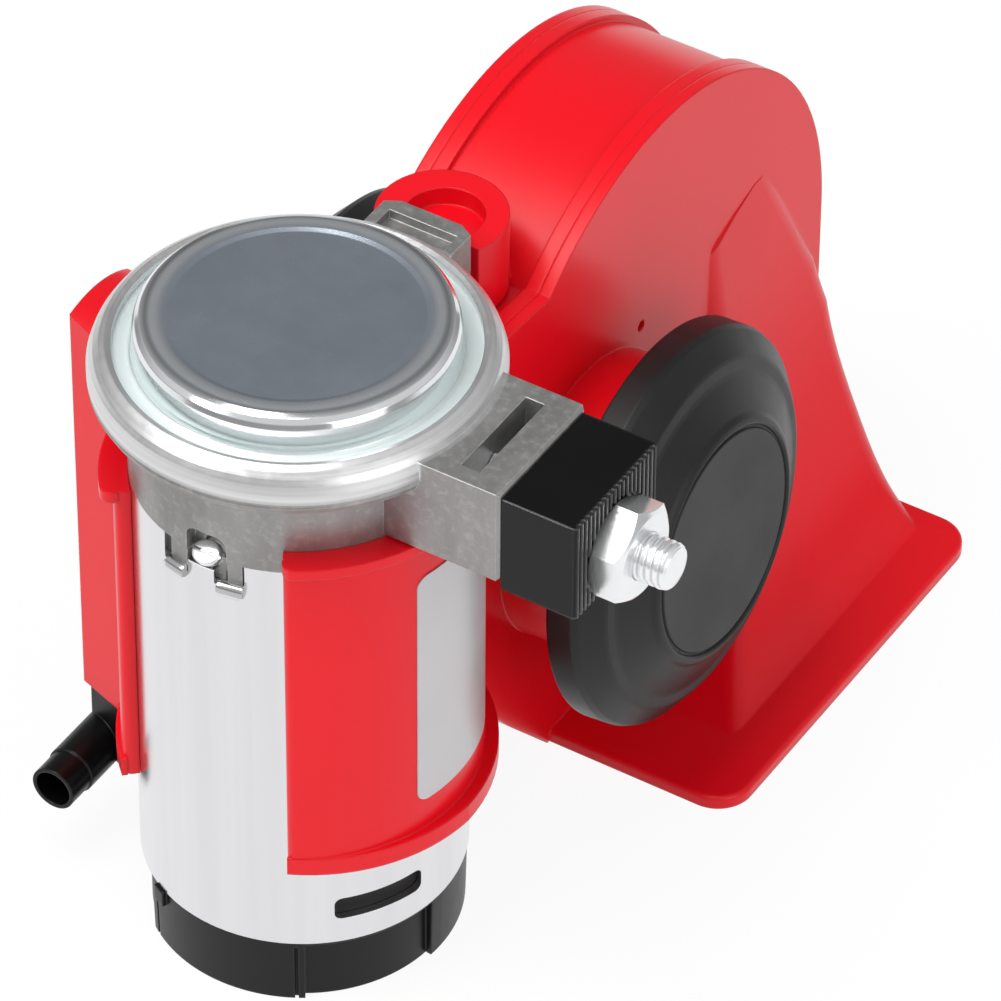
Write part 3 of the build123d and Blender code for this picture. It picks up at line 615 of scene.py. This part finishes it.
makeStud()
makeNut()
print("stud and nut made")

# spans are in degrees about the can's axis
lip = dict(ring=27.2 * mm, thick=1.2 * mm, height=88.6 * mm,
           spans=((-104.8, -97.2), (-84.6, -75.2)), segments=200, sides=16,
           rounding=0.7 * mm, roundingSteps=4, roundOver=50, smoothUnder=40)


def makeLips():
    for number, (start, end) in enumerate(lip["spans"], 1):
        deselectAll()
        bpy.ops.mesh.primitive_torus_add(
            major_radius=lip["ring"], minor_radius=lip["thick"],
            major_segments=lip["segments"], minor_segments=lip["sides"],
            location=(axisPlace.x, axisPlace.y, lip["height"]))
        rolled = bpy.context.object
        freeze()
        bpy.ops.object.mode_set(mode="EDIT")
        for angle, behind in ((start, True), (end, False)):
            bpy.ops.mesh.select_all(action="SELECT")
            across = (-sin(radians(angle)), cos(radians(angle)), 0)
            bpy.ops.mesh.bisect(plane_co=tuple(axisPlace), plane_no=across, use_fill=True,
                                clear_inner=behind, clear_outer=not behind)
        bpy.ops.object.mode_set(mode="OBJECT")
        rounding = rolled.modifiers.new("rounding", "BEVEL")
        rounding.width = lip["rounding"]
        rounding.segments = lip["roundingSteps"]
        rounding.limit_method = "ANGLE"
        rounding.angle_limit = radians(lip["roundOver"])
        applyAll(rolled)
        settle(rolled, "curled_lip_%d" % number, "lip")
        smoothBy(rolled, lip["smoothUnder"])


makeLips()
print("lips made")

# out and around place the screw from the can's axis, lean tips its head upwards
screw = dict(out=25.1 * mm, height=92.1 * mm, around=radians(-91.2), lean=radians(-55),
             radius=2.3 * mm, sides=48, thick=1.2 * mm, dome=0.4 * mm, domeSteps=4,
             slotWidth=0.55 * mm, slotDepth=0.6 * mm, slotSpare=1.0 * mm, squash=(1, 1.12, 0.9),
             shank=1.2 * mm, shankLength=2.8 * mm, shankSides=24, shankLap=0.1 * mm, smoothUnder=40)


def makeStakingScrew():
    deselectAll()
    bpy.ops.mesh.primitive_cylinder_add(
        vertices=screw["sides"], radius=screw["radius"], depth=screw["thick"],
        location=(screw["thick"] / 2, 0, 0), rotation=(0, pi / 2, 0))
    head = bpy.context.object
    freeze()
    selectFaces(head, lambda face: face.normal.x > 0.9)
    bpy.ops.mesh.bevel(offset=screw["dome"], segments=screw["domeSteps"], affect="EDGES")
    bpy.ops.object.mode_set(mode="OBJECT")
    slotMiddle = screw["thick"] + (screw["slotSpare"] - screw["slotDepth"]) / 2
    bpy.ops.mesh.primitive_cube_add(size=1, location=(slotMiddle, 0, 0))
    slotCutter = bpy.context.object
    slotCutter.scale = (screw["slotDepth"] + screw["slotSpare"], 3 * screw["radius"],
                        screw["slotWidth"])
    freeze()
    combine(head, slotCutter, "DIFFERENCE")
    deselectAll()
    bpy.ops.mesh.primitive_cylinder_add(
        vertices=screw["shankSides"], radius=screw["shank"], depth=screw["shankLength"],
        location=(screw["shankLap"] - screw["shankLength"] / 2, 0, 0), rotation=(0, pi / 2, 0))
    head.select_set(True)
    bpy.context.view_layer.objects.active = head
    bpy.ops.object.join()
    head.scale = screw["squash"]
    freeze()
    head.matrix_world = (Matrix.Translation(axisPlace) @ Matrix.Rotation(screw["around"], 4, "Z")
                         @ Matrix.Translation((screw["out"], 0, screw["height"]))
                         @ Matrix.Rotation(screw["lean"], 4, "Y"))
    settle(head, "staking_screw", "zinc")
    smoothBy(head, screw["smoothUnder"])
    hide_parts("head_screw_front")


makeStakingScrew()
print("staking screw made")

# lift is how much of the floor the camera sees as plain white
floorLook = dict(size=6.0, tone=0.92, rough=0.8, gloss=0.1, lift=0.92)


def makeFloor():
    deselectAll()
    bpy.ops.mesh.primitive_plane_add(size=floorLook["size"], location=(0, 0, 0))
    floor = bpy.context.object
    floor.name = "floor"
    made, tree, shader = newMaterial("paleFloor")
    tone = floorLook["tone"]
    shader.inputs["Base Color"].default_value = (tone, tone, tone, 1)
    shader.inputs["Roughness"].default_value = floorLook["rough"]
    shader.inputs["Specular IOR Level"].default_value = floorLook["gloss"]
    paths = tree.nodes.new("ShaderNodeLightPath")
    mirrored = calc(tree, "MAXIMUM", paths.outputs["Is Glossy Ray"],
                    paths.outputs["Is Transmission Ray"])
    seen = calc(tree, "MAXIMUM", paths.outputs["Is Camera Ray"], mirrored)
    glow = tree.nodes.new("ShaderNodeEmission")
    glow.inputs["Color"].default_value = (1, 1, 1, 1)
    glow.inputs["Strength"].default_value = 1.0
    mix = tree.nodes.new("ShaderNodeMixShader")
    link(tree, times(tree, seen, floorLook["lift"]), mix.inputs["Fac"])
    link(tree, shader.outputs["BSDF"], mix.inputs[1])
    link(tree, glow.outputs["Emission"], mix.inputs[2])
    link(tree, mix.outputs["Shader"], tree.nodes["Material Output"].inputs["Surface"])
    floor.data.materials.append(made)


# a plain white sky, dimmer in a round patch at the back and low down all round
sky = dict(level=0.70, back=(-0.387, 0.631, 0.662), backDim=0.42, inner=0.93, outer=0.6,
           horizon=0.45, low=0.08, high=0.45)


def makeWorld():
    world = bpy.data.worlds.new("studio")
    bpy.context.scene.world = world
    world.use_nodes = True
    tree = world.node_tree
    coords = tree.nodes.new("ShaderNodeTexCoord")
    dot = tree.nodes.new("ShaderNodeVectorMath")
    dot.operation = "DOT_PRODUCT"
    link(tree, coords.outputs["Generated"], dot.inputs[0])
    dot.inputs[1].default_value = sky["back"]
    parts = tree.nodes.new("ShaderNodeSeparateXYZ")
    link(tree, coords.outputs["Generated"], parts.inputs["Vector"])
    behind = ramp(tree, dot.outputs["Value"], sky["outer"], sky["inner"], 1, sky["backDim"])
    rising = ramp(tree, parts.outputs["Z"], sky["low"], sky["high"], sky["horizon"], 1)
    level = times(tree, times(tree, behind, rising), sky["level"])
    link(tree, level, tree.nodes["Background"].inputs["Strength"])
    tree.nodes["Background"].inputs["Color"].default_value = (1, 1, 1, 1)


lampAim = Vector((0, 0, 0.05))
lamps = [
    dict(name="keyLeft", place=(-0.65, -1.05, 1.05), size=0.42, power=4),
    dict(name="fillRight", place=(1.25, -0.45, 0.6), size=0.9, power=5),
    dict(name="topFront", place=(-0.25, -0.4, 1.45), size=0.75, power=13),
]


def makeLamps():
    for lamp in lamps:
        light = bpy.data.lights.new(lamp["name"], "AREA")
        light.shape = "RECTANGLE"
        light.size = lamp["size"]
        light.size_y = lamp["size"]
        light.energy = lamp["power"]
        holder = bpy.data.objects.new(lamp["name"], light)
        bpy.context.scene.collection.objects.link(holder)
        holder.location = lamp["place"]
        aim = lampAim - Vector(lamp["place"])
        holder.rotation_euler = aim.to_track_quat("-Z", "Y").to_euler()


shot = dict(place=(0.51693, -0.84179, 0.92238), azimuth=31.77, elevation=41.46, roll=0.40,
            lens=287.7, sensor=36, farthest=50)


def makeCamera():
    around, height, roll = (radians(shot[key]) for key in ("azimuth", "elevation", "roll"))
    right = Vector((cos(around), sin(around), 0))
    up = Vector((-sin(height) * sin(around), sin(height) * cos(around), cos(height)))
    back = Vector((sin(around) * cos(height), -cos(around) * cos(height), sin(height)))
    rolledRight = cos(roll) * right + sin(roll) * up
    rolledUp = cos(roll) * up - sin(roll) * right
    lens = bpy.data.cameras.new("camera")
    lens.lens = shot["lens"]
    lens.sensor_width = shot["sensor"]
    lens.sensor_fit = "HORIZONTAL"
    lens.clip_end = shot["farthest"]
    camera = bpy.data.objects.new("camera", lens)
    bpy.context.scene.collection.objects.link(camera)
    turn = Matrix((rolledRight, rolledUp, back)).transposed().to_4x4()
    camera.matrix_world = Matrix.Translation(shot["place"]) @ turn
    bpy.context.scene.camera = camera


makeFloor()
makeWorld()
makeLamps()
makeCamera()
bpy.context.scene.view_settings.view_transform = "Standard"
print("stage, lamps and camera set")
